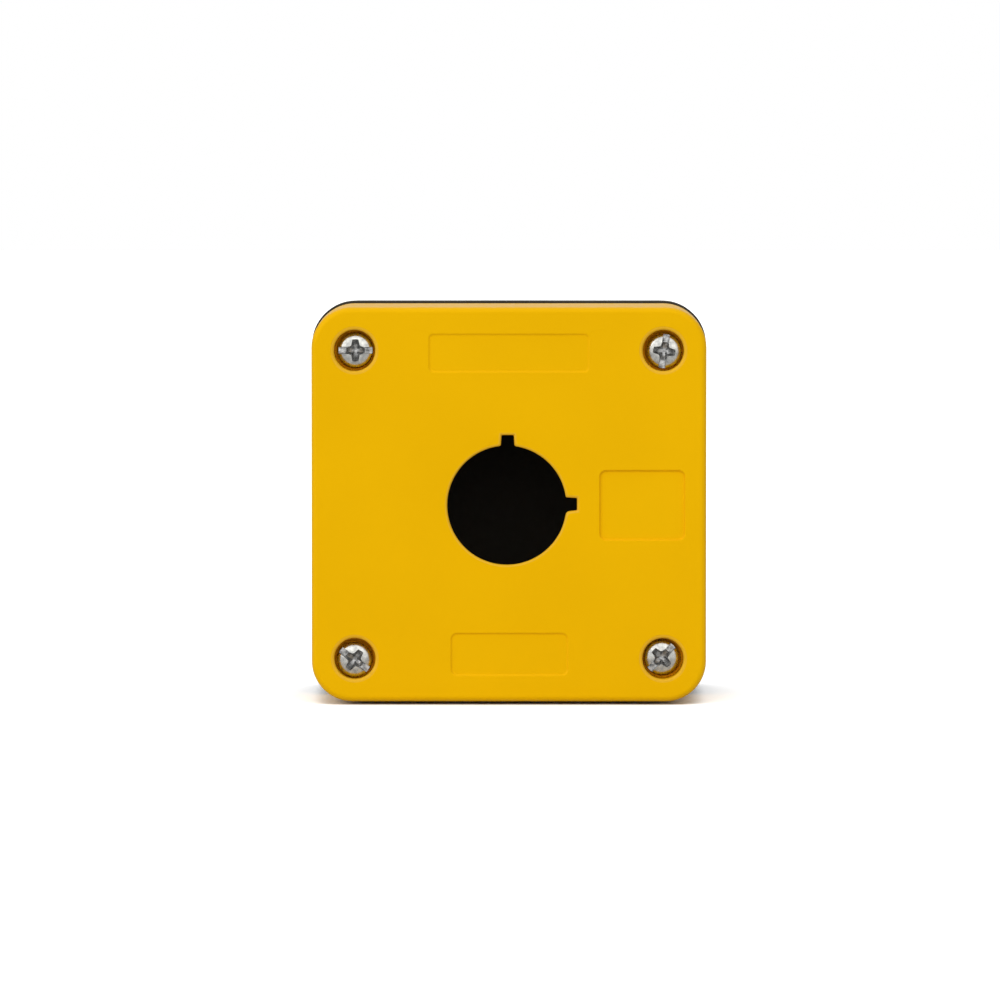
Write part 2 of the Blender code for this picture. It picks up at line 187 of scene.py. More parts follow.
# Wall-fixing slots: centre z, half width and half height. A plug's stem is PLUG_STEM larger all round;
# its soft ends are (depth from the end, growth) pairs
FIXINGS = {"upper": (0.0240, 0.00225, 0.0035), "lower": (-0.0240, 0.0035, 0.00225)}
PLUG_STEM = -0.0003
PLUG_INNER_END = ((0.0003, -0.0010), (0.0, -0.0006), (0.00008, -0.0002), (0.0003, 0.0))
PLUG_OUTER_END = ((-0.0003, 0.0), (-0.0001, -0.00008), (0.0, -0.0003), (0.0, -0.0006), (-0.0004, -0.0008))
PLUG_EDGE = 0.0001

# The gasket's gap to the cavity, and its section's points and squareness
GASKET_CLEARANCE = 0.0002
GASKET_STEPS = 16
GASKET_POWER = 0.6

# Materials: noise cells in a metre, how near and how far a surface must close in to count as a hollow and
# take its painted shade, and the material slot of the painted sheen on the cover's rims
TONE_CELLS = 45
SHEEN_CELLS = 900
COARSE_GRAIN_CELLS = 1100
FINE_GRAIN_CELLS = 5200
HOLLOW_SHADE_REACH = 0.004
HOLLOW_SHADE_RANGE = (0.25, 0.95)
PAINTED_SHEEN_SLOT = 1

# Camera and light; each lobe is the range of cosines over which its light rises
CAMERA_DISTANCE = 1.25
CAMERA_X = 0.0011
CAMERA_RISE = 0.0651
CAMERA_PITCH = 2.940
CAMERA_YAW = 0.127
CAMERA_LENS = 240.56
SENSOR_WIDTH = 36.0
HORIZON_LIGHT = 0.25
ZENITH_LIGHT = 0.60
BACKDROP_LIGHT = 0.45
BACKDROP_LOBE = (0.6, 0.95)
FRONT_LIGHT = 1.16
FRONT_DIRECTION = (-0.12, -1.0, 0.08)
FRONT_LOBE = (0.3, 0.95)
KEY_STRENGTH = 0.50
KEY_DIRECTION = (-0.90, -0.60, 0.50)
KEY_SPREAD = 30
FLOOR_SEEN = 0.98
FLOOR_BOUNCE = 0.62
FLOOR_GLOW = 0.50
FLOOR_SIZE = 12
SHADOW_REACH = 0.12
SHADOW_RANGE = (0.35, 0.60)

# Fineness
CORNER_STEPS = 16
HOLE_STEPS = 144
ROUND_STEPS = 72
SCREW_STEPS = 48
DOME_STEPS = 12
RINGS_PER_TURN = 8
FILLET_STEPS = 7
HOLE_EDGE_STEPS = 4
WELD = 1e-7
SMOOTH_ANGLE = math.radians(34)


def at(x, depth, z):
    """A point of the frame from its place seen from the front."""
    return Vector((x, FRONT_Y + depth, CENTRE_Z + z))


def screw_axes():
    """Each screw's axis (x, z), read from the joint that turns it."""
    axes = {}
    for joint in frame["joints"]:
        if joint["type"] == "hinge":
            name = joint["name"].removeprefix("screw_turn_")
            axes[name] = (joint["pos_m"][0], joint["pos_m"][2] - CENTRE_Z)
    return axes


# ---- Outlines and skins ----

def rounded_rectangle(half_x, half_z, radius, steps=CORNER_STEPS):
    """Points (x, z) round a rectangle with round corners."""
    points = []
    for corner in range(4):
        centre_x = (half_x - radius) * (1 if corner in (0, 3) else -1)
        centre_z = (half_z - radius) * (1 if corner in (0, 1) else -1)
        for step in range(steps + 1):
            angle = math.radians(90 * (corner + step / steps))
            points.append((centre_x + radius * math.cos(angle), centre_z + radius * math.sin(angle)))
    return points


def rim_outline(half):
    """A rounded square that stays parallel to the box's rim."""
    return rounded_rectangle(half, half, half - (RIM_HALF - RIM_CORNER))


def circle(radius, steps=ROUND_STEPS):
    """Points (x, z) round a circle."""
    angles = [math.tau * step / steps for step in range(steps)]
    return [(radius * math.cos(angle), radius * math.sin(angle)) for angle in angles]


def rounded_corner(before, corner, after, steps=5):
    """A soft turn from before to after, round a corner point."""
    points = []
    for step in range(steps + 1):
        t = step / steps
        points.append(tuple(
            (1 - t) ** 2 * a + 2 * t * (1 - t) * b + t ** 2 * c for a, b, c in zip(before, corner, after)
        ))
    return points


def spun(x, z, angle):
    """A point turned about the origin."""
    return (x * math.cos(angle) - z * math.sin(angle), x * math.sin(angle) + z * math.cos(angle))


def key_outline(radius, grow, shift, low_round, high_round):
    """One key seen with its end to the right, and the angles where its roots leave the round hole."""
    reach, root, end = KEY_REACH + grow, KEY_ROOT_HALF + grow, KEY_END_HALF + grow
    below = math.asin((root - shift) / radius)
    above = math.asin((root + shift) / radius)
    start, stop = below + low_round / radius, above + high_round / radius
    low_root = (radius * math.cos(below), shift - root)
    high_root = (radius * math.cos(above), shift + root)
    low_end, high_end = (reach, shift - end), (reach, shift + end)
    points = rounded_corner(spun(radius, 0.0, -start), low_root, (low_root[0] + low_round, shift - root))
    for corner, inward, outward in ((low_end, (-1, 0), (0, 1)), (high_end, (0, -1), (-1, 0))):
        before = tuple(c + KEY_END_ROUND * step for c, step in zip(corner, inward))
        after = tuple(c + KEY_END_ROUND * step for c, step in zip(corner, outward))
        points += rounded_corner(before, corner, after)
    points += rounded_corner((high_root[0] + high_round, shift + root), high_root, spun(radius, 0.0, stop))
    return points, start, stop


def keyed_circle(grow=0.0):
    """The device hole's outline, with a soft-cornered key at each angle in KEYS."""
    radius = HOLE_RADIUS + grow
    keys = [key_outline(radius, grow, *shape) for _, *shape in KEYS]
    points = []
    for index, (key, _, stop) in enumerate(keys):
        following = (index + 1) % len(keys)
        turn, next_turn = math.radians(KEYS[index][0]), math.radians(KEYS[following][0])
        points += [spun(out, side, turn) for out, side in key]
        whole = (next_turn - turn) % math.tau
        sweep = whole - stop - keys[following][1]
        steps = round(HOLE_STEPS * whole / math.tau)
        points += [spun(radius, 0.0, turn + stop + sweep * step / steps) for step in range(1, steps)]
    return points


def cavity_outline(half, discs):
    """A rounded square whose corners are filled by discs (x, z, radius), one in each quadrant."""
    points = []
    for x, z, radius in discs:
        side, level = math.copysign(1, x), math.copysign(1, z)
        on_wall = level * (abs(z) - math.sqrt(radius ** 2 - (half - abs(x)) ** 2))
        on_top = side * (abs(x) - math.sqrt(radius ** 2 - (half - abs(z)) ** 2))
        ends = [Vector((side * half, on_wall)), Vector((on_top, level * half))]
        if side * level < 0:
            ends.reverse()
        angles = [math.atan2(end.y - z, end.x - x) for end in ends]
        while angles[1] > angles[0]:
            angles[1] -= math.tau
        for step in range(2 * CORNER_STEPS + 1):
            angle = angles[0] + (angles[1] - angles[0]) * step / (2 * CORNER_STEPS)
            points.append((x + radius * math.cos(angle), z + radius * math.sin(angle)))
    return points


class Skin:
    """A closed surface made from loops of points that are bridged or filled."""

    def __init__(self):
        """An empty surface."""
        self.mesh = bmesh.new()

    def loop(self, outline, depth, x=0.0, z=0.0):
        """New points along an outline at one depth, about (x, z)."""
        return [self.mesh.verts.new(at(x + point[0], depth, z + point[1])) for point in outline]

    def bridge(self, first, second, slot=0):
        """A band of faces between two loops of the same length."""
        for index in range(len(first)):
            following = (index + 1) % len(first)
            face = self.mesh.faces.new((first[index], first[following], second[following], second[index]))
            face.material_index = slot

    def chain(self, loops, closed=False, slot=0):
        """Bands between each loop and the next, and back to the first where it is closed."""
        for first, second in zip(loops, loops[1:] + loops[:1] if closed else loops[1:]):
            self.bridge(first, second, slot)

    def fill(self, *loops):
        """Flat faces inside a loop, or between an outer loop and those inside it."""
        edges = []
        for loop in loops:
            for first, second in zip(loop, loop[1:] + loop[:1]):
                edges.append(self.mesh.edges.get((first, second)) or self.mesh.edges.new((first, second)))
        bmesh.ops.triangle_fill(self.mesh, use_beauty=True, edges=edges)

    def capped(self, name, loops):
        """An object whose skin runs along the loops and is filled at both ends."""
        self.chain(loops)
        self.fill(loops[0])
        self.fill(loops[-1])
        return self.finish(name)

    def finish(self, name):
        """An object with this surface, smooth but for its sharp edges."""
        bmesh.ops.remove_doubles(self.mesh, verts=self.mesh.verts, dist=WELD)
        bmesh.ops.recalc_face_normals(self.mesh, faces=self.mesh.faces)
        made = bpy.data.meshes.new(name)
        self.mesh.to_mesh(made)
        self.mesh.free()
        made.shade_smooth()
        made.set_sharp_from_angle(angle=SMOOTH_ANGLE)
        item = bpy.data.objects.new(name, made)
        bpy.context.scene.collection.objects.link(item)
        return item


def turned(name, profile, x=0.0, z=0.0, steps=ROUND_STEPS, closed=False):
    """A body turned round the depth axis through (x, z), from (depth, radius) pairs."""
    skin = Skin()
    loops = [skin.loop(circle(radius, steps), depth, x, z) for depth, radius in profile]
    if not closed:
        return skin.capped(name, loops)
    skin.chain(loops, closed)
    return skin.finish(name)


def combine(target, tool, operation):
    """Apply a Boolean of a tool body to the target's mesh, and drop the tool."""
    modifier = target.modifiers.new(tool.name, "BOOLEAN")
    modifier.operation = operation
    modifier.solver = "EXACT"
    modifier.object = tool
    modifier.material_mode = "TRANSFER"
    graph = bpy.context.evaluated_depsgraph_get()
    made = bpy.data.meshes.new_from_object(target.evaluated_get(graph))
    target.modifiers.clear()
    target.data = made
    bpy.data.objects.remove(tool)


def dress(item, materials, body, slot, *nodes):
    """Give a finished body its materials, even normals, its CAD body and the nodes it replaces; the slot
    argument is not used.
    """
    for material in materials:
        item.data.materials.append(material)
    item.data.shade_smooth()
    item.data.set_sharp_from_angle(angle=SMOOTH_ANGLE)
    normals = item.modifiers.new("even_normals", "WEIGHTED_NORMAL")
    normals.keep_sharp = True
    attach(item, body)
    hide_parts(*nodes)


# ---- Materials ----

def material_of(name, colour, roughness, metallic=0.0, level=0.5, tint=(1.0, 1.0, 1.0)):
    """A new material and its node tree, with a Principled shader set to plain values."""
    material = bpy.data.materials.new(name)
    material.use_nodes = True
    shader = material.node_tree.nodes["Principled BSDF"]
    shader.inputs["Base Color"].default_value = (*colour, 1.0)
    shader.inputs["Roughness"].default_value = roughness
    shader.inputs["Metallic"].default_value = metallic
    shader.inputs["Specular IOR Level"].default_value = level
    shader.inputs["Specular Tint"].default_value = (*tint, 1.0)
    return material, material.node_tree, shader


def noise(tree, scale, detail=3.0, stretch=(1.0, 1.0, 1.0)):
    """A noise pattern in the object's own space; scale counts its cells in a metre."""
    nodes, links = tree.nodes, tree.links
    place = nodes.new("ShaderNodeTexCoord")
    mapping = nodes.new("ShaderNodeMapping")
    mapping.inputs["Scale"].default_value = stretch
    texture = nodes.new("ShaderNodeTexNoise")
    texture.inputs["Scale"].default_value = scale
    texture.inputs["Detail"].default_value = detail
    links.new(place.outputs["Object"], mapping.inputs["Vector"])
    links.new(mapping.outputs["Vector"], texture.inputs["Vector"])
    return texture.outputs["Fac"]


def remap(tree, value, low, high, start=0.3, end=0.7):
    """The value between start and end, spread from low to high."""
    node = tree.nodes.new("ShaderNodeMapRange")
    node.inputs["From Min"].default_value = start
    node.inputs["From Max"].default_value = end
    node.inputs["To Min"].default_value = low
    node.inputs["To Max"].default_value = high
    tree.links.new(value, node.inputs["Value"])
    return node.outputs["Result"]


def blend_colours(tree, value, first, second):
    """Two linear colours mixed by a value from 0 to 1."""
    node = tree.nodes.new("ShaderNodeMix")
    node.data_type = "RGBA"
    node.inputs["A"].default_value = (*first, 1.0)
    node.inputs["B"].default_value = (*second, 1.0)
    tree.links.new(value, node.inputs["Factor"])
    return node.outputs["Result"]


def bump(tree, height, distance, strength=1.0, normal=None):
    """A bump of a given depth in metres, on top of another normal where one is given."""
    node = tree.nodes.new("ShaderNodeBump")
    node.inputs["Distance"].default_value = distance
    node.inputs["Strength"].default_value = strength
    tree.links.new(height, node.inputs["Height"])
    if normal is not None:
        tree.links.new(normal, node.inputs["Normal"])
    return node.outputs["Normal"]


def shade_hollows(tree, colour, hollow_shade, reach):
    """A colour that turns to a painted shade where the piece's surface closes in on itself."""
    closed = tree.nodes.new("ShaderNodeAmbientOcclusion")
    closed.only_local = True
    closed.inputs["Distance"].default_value = reach
    node = tree.nodes.new("ShaderNodeMix")
    node.data_type = "RGBA"
    node.inputs["A"].default_value = (*hollow_shade, 1.0)
    tree.links.new(remap(tree, closed.outputs["AO"], 0.0, 1.0, *HOLLOW_SHADE_RANGE), node.inputs["Factor"])
    tree.links.new(colour, node.inputs["B"])
    return node.outputs["Result"]


def moulded_plastic(name, light, dark, smooth, rough, grain, level=0.5, tint=(1.0, 1.0, 1.0), hollow_shade=None):
    """Moulded plastic: a slow drift of tone, a fine spark-eroded grain and an uneven sheen."""
    material, tree, shader = material_of(name, light, smooth, level=level, tint=tint)
    drift = remap(tree, noise(tree, TONE_CELLS, 2.0), 0.0, 1.0)
    colour = blend_colours(tree, drift, light, dark)
    # Painted shade: hollows found by occlusion turn a deeper orange, standing in for shadow and bounced
    # light.
    if hollow_shade:
        colour = shade_hollows(tree, colour, hollow_shade, HOLLOW_SHADE_REACH)
    tree.links.new(colour, shader.inputs["Base Color"])
    sheen = remap(tree, noise(tree, SHEEN_CELLS, 4.0), smooth, rough)
    tree.links.new(sheen, shader.inputs["Roughness"])
    coarse = bump(tree, noise(tree, COARSE_GRAIN_CELLS, 2.0), 4 * grain, 0.25)
    fine = bump(tree, noise(tree, FINE_GRAIN_CELLS, 3.0), grain, 0.8, coarse)
    tree.links.new(fine, shader.inputs["Normal"])
    return material


def rubber(name):
    """Black elastomer with a chalky, slightly uneven skin."""
    material, tree, shader = material_of(name, (0.014, 0.014, 0.015), 0.7)
    bloom = remap(tree, noise(tree, 700, 4.0), 0.0, 1.0)
    shade = blend_colours(tree, bloom, (0.010, 0.010, 0.011), (0.026, 0.026, 0.026))
    tree.links.new(shade, shader.inputs["Base Color"])
    tree.links.new(remap(tree, noise(tree, 1500), 0.58, 0.82), shader.inputs["Roughness"])
    tree.links.new(bump(tree, noise(tree, 3000), 0.00002, 0.6), shader.inputs["Normal"])
    return material


def plated_metal(name, light, dark, smooth, rough, marks):
    """Plated or turned metal: cloudy tone, patchy gloss and fine tool marks."""
    material, tree, shader = material_of(name, light, smooth, metallic=1.0)
    cloud = remap(tree, noise(tree, 1300, 4.0), 0.0, 1.0)
    tree.links.new(blend_colours(tree, cloud, light, dark), shader.inputs["Base Color"])
    tree.links.new(remap(tree, noise(tree, 2600, 5.0), smooth, rough), shader.inputs["Roughness"])
    scratches = bump(tree, noise(tree, 900, 3.0, (1.0, 9.0, 1.0)), marks, 0.5)
    pits = bump(tree, noise(tree, 4200, 2.0), marks, 0.6, scratches)
    tree.links.new(pits, shader.inputs["Normal"])
    return material


# ---- Shells ----

def recess_loops(skin, x, z):
    """A screw station in the cover: dished rim, recess, the seal's seat, the web and the column's bore."""
    web_back = SEAT_DEPTH + WEB
    soft = RECESS_ROUND
    profile = [
        *RECESS_RIM, (RECESS_DEPTH - soft, RECESS_RADIUS),
        (RECESS_DEPTH - 0.3 * soft, RECESS_RADIUS - 0.3 * soft), (RECESS_DEPTH, RECESS_RADIUS - soft),
        (RECESS_DEPTH, SEAT_RADIUS + EDGE / 2), (RECESS_DEPTH + EDGE, SEAT_RADIUS),
        (SEAT_DEPTH, SEAT_RADIUS), (SEAT_DEPTH, WEB_HOLE_RADIUS + EDGE),
        (SEAT_DEPTH + EDGE, WEB_HOLE_RADIUS), (web_back, WEB_HOLE_RADIUS),
        (web_back, COLUMN_BORE_RADIUS), (PARTING_DEPTH - REBATE_DEPTH, COLUMN_BORE_RADIUS),
    ]
    loops = [skin.loop(circle(radius), depth, x, z) for depth, radius in profile]
    # The dished rim carries the painted sheen.
    skin.chain(loops[:len(RECESS_RIM)], slot=PAINTED_SHEEN_SLOT)
    skin.chain(loops[len(RECESS_RIM) - 1:])
    return loops[0], loops[-1]


def front_cover(material, rim_sheen):
    """The yellow cover, with every front edge softened and a painted sheen on the rims of its hole and
    recesses.
    """
    skin = Skin()
    sides = []
    for step in range(FILLET_STEPS + 1):
        angle = math.radians(90 * step / FILLET_STEPS)
        inset = FRONT_FILLET * (1 - math.sin(angle))
        outline = rounded_rectangle(FRONT_HALF - inset, FRONT_HALF - inset, FRONT_CORNER - inset)
        sides.append(skin.loop(outline, FRONT_FILLET * (1 - math.cos(angle))))
    rim = COVER_RIM_HALF
    lip = rim - LIP
    rebate = PARTING_DEPTH - REBATE_DEPTH
    for half, depth in (
        (rim, PARTING_DEPTH - STRAIGHT_BAND), (rim, PARTING_DEPTH - EDGE), (rim - EDGE, PARTING_DEPTH),
        (lip + EDGE, PARTING_DEPTH), (lip, PARTING_DEPTH - EDGE), (lip, rebate),
    ):
        sides.append(skin.loop(rim_outline(half), depth))
    skin.chain(sides)
    places = [(side * SCREW_PITCH_HALF, level * SCREW_PITCH_HALF) for side, level in CORNER_SIDES.values()]
    stations = [recess_loops(skin, x, z) for x, z in places]
    hole = []
    for step in range(HOLE_EDGE_STEPS + 1):
        angle = math.radians(90 * step / HOLE_EDGE_STEPS)
        depth = HOLE_EDGE * (1 - math.cos(angle))
        hole.append(skin.loop(keyed_circle(HOLE_EDGE * (1 - math.sin(angle))), depth, HOLE_X, HOLE_Z))
    hole.append(skin.loop(keyed_circle(HOLE_DRAFT), FRONT_PANEL, HOLE_X, HOLE_Z))
    # The hole's rounded edge carries the painted sheen.
    skin.chain(hole[:-1], slot=PAINTED_SHEEN_SLOT)
    skin.chain(hole[-2:])
    fields = []
    for x, z, half_x, half_z, corner, deep in LABELS:
        loops = []
        for grow, share in LABEL_EDGE:
            outline = rounded_rectangle(half_x + grow, half_z + grow, corner + grow)
            loops.append(skin.loop(outline, deep * share, x, z))
        skin.chain(loops)
        skin.fill(loops[-1])
        fields.append(loops[0])
    skin.fill(sides[0], hole[0], *fields, *[front for front, _ in stations])
    quadrants = sorted(places, key=lambda place: math.atan2(place[1], place[0]) % math.tau)
    outline = cavity_outline(CAVITY_HALF, [(x, z, COLUMN_RADIUS) for x, z in quadrants])
    cavity = [skin.loop(outline, depth) for depth in (rebate, FRONT_PANEL)]
    skin.chain(cavity)
    skin.fill(cavity[-1], hole[-1])
    skin.fill(sides[-1], cavity[0], *[back for _, back in stations])
    dress(skin.finish("cover_shell"), (material, rim_sheen), "cover", "cover_yellow", "front_cover")


def rear_housing(material, axes):
    """The dark housing, with its tongue, pillars, cable entries and fixing slots."""
    skin = Skin()
    inner = CAVITY_HALF
    tongue = gasket_high.x
    shoulder = PARTING_DEPTH + SEAM_GAP
    seam = (
        (inner, TOTAL_DEPTH - WALL), (inner, TONGUE_TOP + EDGE), (inner + EDGE, TONGUE_TOP),
        (tongue - EDGE, TONGUE_TOP), (tongue, TONGUE_TOP + EDGE), (tongue, shoulder),
        (RIM_HALF - EDGE, shoulder), (RIM_HALF, shoulder + EDGE), (RIM_HALF, shoulder + STRAIGHT_BAND),
    )
    loops = [skin.loop(rim_outline(half), depth) for half, depth in seam]
    for step in range(FILLET_STEPS + 1):
        angle = math.radians(90 * step / FILLET_STEPS)
        inset = REAR_FILLET * (1 - math.cos(angle))
        outline = rounded_rectangle(REAR_HALF - inset, REAR_HALF - inset, REAR_CORNER - inset)
        loops.append(skin.loop(outline, TOTAL_DEPTH - REAR_FILLET * (1 - math.sin(angle))))
    housing = skin.capped("housing_shell", loops)
    insert_low, insert_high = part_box("threaded_insert_upper_left")
    pillar_top = insert_low.y - FRONT_Y - SEAM_GAP
    pocket_end = insert_high.y - FRONT_Y + SEAM_GAP
    nose_end = pillar_top + PILLAR_NOSE_LENGTH
    pillar = (
        (pillar_top, PILLAR_NOSE_RADIUS - EDGE), (pillar_top + EDGE, PILLAR_NOSE_RADIUS),
        (nose_end, PILLAR_NOSE_RADIUS), (nose_end, PILLAR_RADIUS), (TOTAL_DEPTH - WALL / 2, PILLAR_RADIUS),
    )
    pocket = (
        (pillar_top - EDGE, POCKET_RADIUS + 2 * EDGE), (pillar_top + EDGE, POCKET_RADIUS),
        (pocket_end, POCKET_RADIUS), (pocket_end, PILOT_RADIUS), (PILOT_END, PILOT_RADIUS),
    )
    for x, z in axes.values():
        combine(housing, turned("pillar", pillar, x, z), "UNION")
        combine(housing, turned("pocket", pocket, x, z), "DIFFERENCE")
    for level in (1, -1):
        combine(housing, entry_tool(level), "DIFFERENCE")
    for z, half_x, half_z in FIXINGS.values():
        combine(housing, slot_tool(z, half_x, half_z), "DIFFERENCE")
    housing.data.materials.clear()
    dress(housing, (material,), "housing", "housing_charcoal", "rear_housing")


def entry_tool(level):
    """What one cable entry takes out of the housing: a flat round land and two knock-out grooves."""
    land = ENTRY_LAND_HALF
    profile = [(RIM_HALF + WALL, ENTRY_LAND_RADIUS + EDGE), (land, ENTRY_LAND_RADIUS)]
    for outer, inner, groove in ENTRY_GROOVES:
        floor = land - groove
        profile += [(land, outer + EDGE), (land - EDGE, outer), (floor, outer - EDGE)]
        profile += [(floor, inner + EDGE), (land - EDGE, inner), (land, inner - EDGE)]
    tool = turned("entry", profile, steps=2 * ROUND_STEPS)
    centre = at(0.0, 0.0, 0.0)
    tool.data.transform(Matrix.Translation(-centre))
    tool.data.transform(Matrix.Rotation(math.radians(90 * level), 4, "X"))
    tool.data.transform(Matrix.Translation(at(0.0, ENTRY_DEPTH, 0.0)))
    return tool


def slot_tool(z, half_x, half_z):
    """What one wall-fixing slot takes out of the rear wall."""
    skin = Skin()
    radius = min(half_x, half_z)
    loops = []
    inside, mouth, outside = TOTAL_DEPTH - 2 * WALL, TOTAL_DEPTH - 2 * EDGE, TOTAL_DEPTH + 2 * EDGE
    for depth, grow in ((inside, 0.0), (mouth, 0.0), (outside, 4 * EDGE)):
        outline = rounded_rectangle(half_x + grow, half_z + grow, radius + grow)
        loops.append(skin.loop(outline, depth, 0.0, z))
    return skin.capped("slot_tool", loops)


# ---- Seals, screws and inserts ----

def cover_gasket(material):
    """The seal in the cover's rebate: a flat strip with every edge rounded."""
    depth_low, depth_high = gasket_low.y - FRONT_Y, gasket_high.y - FRONT_Y
    outer, inner = gasket_high.x, CAVITY_HALF + GASKET_CLEARANCE
    middle, half = (outer + inner) / 2, (outer - inner) / 2
    thick = depth_high - depth_low
    section = []
    for step in range(GASKET_STEPS):
        angle = math.tau * step / GASKET_STEPS
        across = math.copysign(abs(math.cos(angle)) ** GASKET_POWER, math.cos(angle))
        along = math.copysign(abs(math.sin(angle)) ** GASKET_POWER, math.sin(angle))
        section.append((middle + half * across, depth_low + thick * (1 + along) / 2))
    skin = Skin()
    skin.chain([skin.loop(rim_outline(reach), depth) for reach, depth in section], closed=True)
    dress(skin.finish("gasket_strip"), (material,), "cover", "seal_rubber", "cover_gasket")


def mounting_plug(name, material):
    """A rubber plug: a soft-edged flange inside the wall and a stem that is dished at its end."""
    z, half_x, half_z = FIXINGS[name]
    low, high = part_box(f"mounting_plug_{name}")
    radius = min(half_x, half_z)
    stem, start, stop = PLUG_STEM, low.y - FRONT_Y, high.y - FRONT_Y
    flange_grow = high.x - half_x
    flange_back = TOTAL_DEPTH - WALL - SEAM_GAP
    sections = [(start + depth, flange_grow + grow) for depth, grow in PLUG_INNER_END]
    sections += [(flange_back - PLUG_EDGE, flange_grow), (flange_back, flange_grow - PLUG_EDGE)]
    sections.append((flange_back, stem))
    sections += [(stop + depth, stem + grow) for depth, grow in PLUG_OUTER_END]
    skin = Skin()
    loops = []
    for depth, grow in sections:
        outline = rounded_rectangle(half_x + grow, half_z + grow, radius + grow)
        loops.append(skin.loop(outline, depth, 0.0, z))
    plug = skin.capped(f"plug_{name}", loops)
    dress(plug, (material,), "housing", "seal_rubber", f"mounting_plug_{name}")


def threaded(depth, start, end, crest, root, steps=SCREW_STEPS):
    """Points round a thread at one depth; the thread fades in and out over a turn at its ends."""
    points = []
    fade = min(1.0, max(0.0, (depth - start) / THREAD_PITCH), max(0.0, (end - depth) / THREAD_PITCH))
    for step in range(steps):
        turn = step / steps
        phase = ((depth - start) / THREAD_PITCH - turn) % 1.0
        ridge = min(1.0, max(0.0, FLANK_SLOPE * (1 - abs(2 * phase - 1)) - ROOT_SHARE))
        radius = root + (crest - root) * ridge * fade
        points.append((radius * math.cos(math.tau * turn), radius * math.sin(math.tau * turn)))
    return points


def cross_outline(reach, half):
    """A cross with soft inner corners, as the drive's wings have at one depth."""
    points = []
    for quarter in range(4):
        turn = math.radians(90 * quarter)
        tip_reach, tip_half = reach * WING_TIP_REACH, half * WING_TIP_HALF
        arm = [(tip_reach, -tip_half), (reach, 0.0), (tip_reach, tip_half)]
        arm += rounded_corner((half * 2.0, half), (half, half), (half, half * 2.0), 4)
        points += [spun(along, across, turn) for along, across in arm]
    return points


def cover_screw(name, x, z, material, drive):
    """A captive screw: domed head with slot and cross, waisted neck and helical thread."""
    low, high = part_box(f"cover_screw_{name}")
    top, tip = low.y - FRONT_Y - HEAD_CROWN, high.y - FRONT_Y
    start, end = top + THREAD_START, tip - TIP_LENGTH
    skin = Skin()
    loops = []
    for step in range(1, DOME_STEPS + 1):
        angle = math.radians(90 * step / DOME_STEPS)
        radius = HEAD_RADIUS * math.sin(angle) ** DOME_POWER
        depth = top + DOME_HEIGHT * (1 - math.cos(angle))
        loops.append(skin.loop(circle(radius, SCREW_STEPS), depth, x, z))
    shank = (
        (top + HEAD_HEIGHT - EDGE, HEAD_RADIUS), (top + HEAD_HEIGHT, HEAD_RADIUS - EDGE),
        (top + HEAD_HEIGHT, NECK_RADIUS + 2 * EDGE), (top + HEAD_HEIGHT + 2 * EDGE, NECK_RADIUS),
        (start - THREAD_PITCH, NECK_RADIUS),
    )
    loops += [skin.loop(circle(radius, SCREW_STEPS), depth, x, z) for depth, radius in shank]
    rings = round((tip - start) / THREAD_PITCH * RINGS_PER_TURN)
    for ring in range(rings):
        depth = start + (end - start) * ring / (rings - 1)
        loops.append(skin.loop(threaded(depth, start, end, THREAD_RADIUS, THREAD_ROOT), depth, x, z))
    loops.append(skin.loop(circle(NECK_RADIUS * TIP_SHARE, SCREW_STEPS), tip, x, z))
    screw = skin.capped(f"screw_{name}", loops)
    screw.data.materials.append(material)
    angle = math.radians(SLOT_ANGLES[name])
    for sections in (slot_sections(top), cross_sections(top)):
        tool = drive_tool(sections, x, z, angle)
        # The slot's and cross's faces take the darker zinc: painted shade in the drive.
        tool.data.materials.append(drive)
        combine(screw, tool, "DIFFERENCE")
    dress(screw, (), f"screw_{name}", "zinc_steel", f"cover_screw_{name}")


def slot_sections(top):
    """The slot's outlines from above the head down to its floor."""
    long = 2 * HEAD_RADIUS
    walls = (
        (-DRIVE_CLEARANCE, SLOT_HALF * 1.1), (SLOT_DEPTH - SLOT_ROUND, SLOT_HALF),
        (SLOT_DEPTH, SLOT_HALF * 0.9),
    )
    return [
        ([(long, half), (-long, half), (-long, -half), (long, -half)], top + depth) for depth, half in walls
    ]


def cross_sections(top):
    """The cross recess's outlines from above the head down to its pointed floor."""
    return [(cross_outline(reach, half), top + depth) for depth, reach, half in CROSS_WINGS]


def drive_tool(sections, x, z, angle):
    """A Boolean tool from (outline, depth) sections, turned about the screw's axis."""
    skin = Skin()
    loops = []
    for outline, depth in sections:
        loops.append(skin.loop([spun(along, across, angle) for along, across in outline], depth, x, z))
    return skin.capped("drive_tool", loops)


def screw_seal(name, x, z, material):
    """The sealing ring under a head."""
    low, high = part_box(f"screw_seal_{name}")
    outer, bore = (high.x - low.x) / 2, SEAL_BORE
    middle, half, thick = (outer + bore) / 2, (outer - bore) / 2, high.y - low.y
    start = low.y - FRONT_Y
    profile = [
        (start + thick * (1 + along) / 2, middle + half * across) for across, along in circle(1.0, SEAL_STEPS)
    ]
    ring = turned(f"seal_ring_{name}", profile, x, z, SCREW_STEPS, closed=True)
    dress(ring, (material,), f"seal_{name}", "seal_rubber", f"screw_seal_{name}")


def captive_washer(name, x, z, material):
    """The nylon washer that retains a screw, with broken edges."""
    low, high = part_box(f"captive_washer_{name}")
    start, stop, outer = low.y - FRONT_Y, high.y - FRONT_Y, (high.x - low.x) / 2
    bore, edge = WASHER_BORE, WASHER_EDGE
    profile = (
        (start + edge, bore), (start, bore + edge), (start, outer - edge), (start + edge, outer),
        (stop - edge, outer), (stop, outer - edge), (stop, bore + edge), (stop - edge, bore),
    )
    washer = turned(f"washer_{name}", profile, x, z, SCREW_STEPS, closed=True)
    dress(washer, (material,), "cover", "natural_nylon", f"captive_washer_{name}")


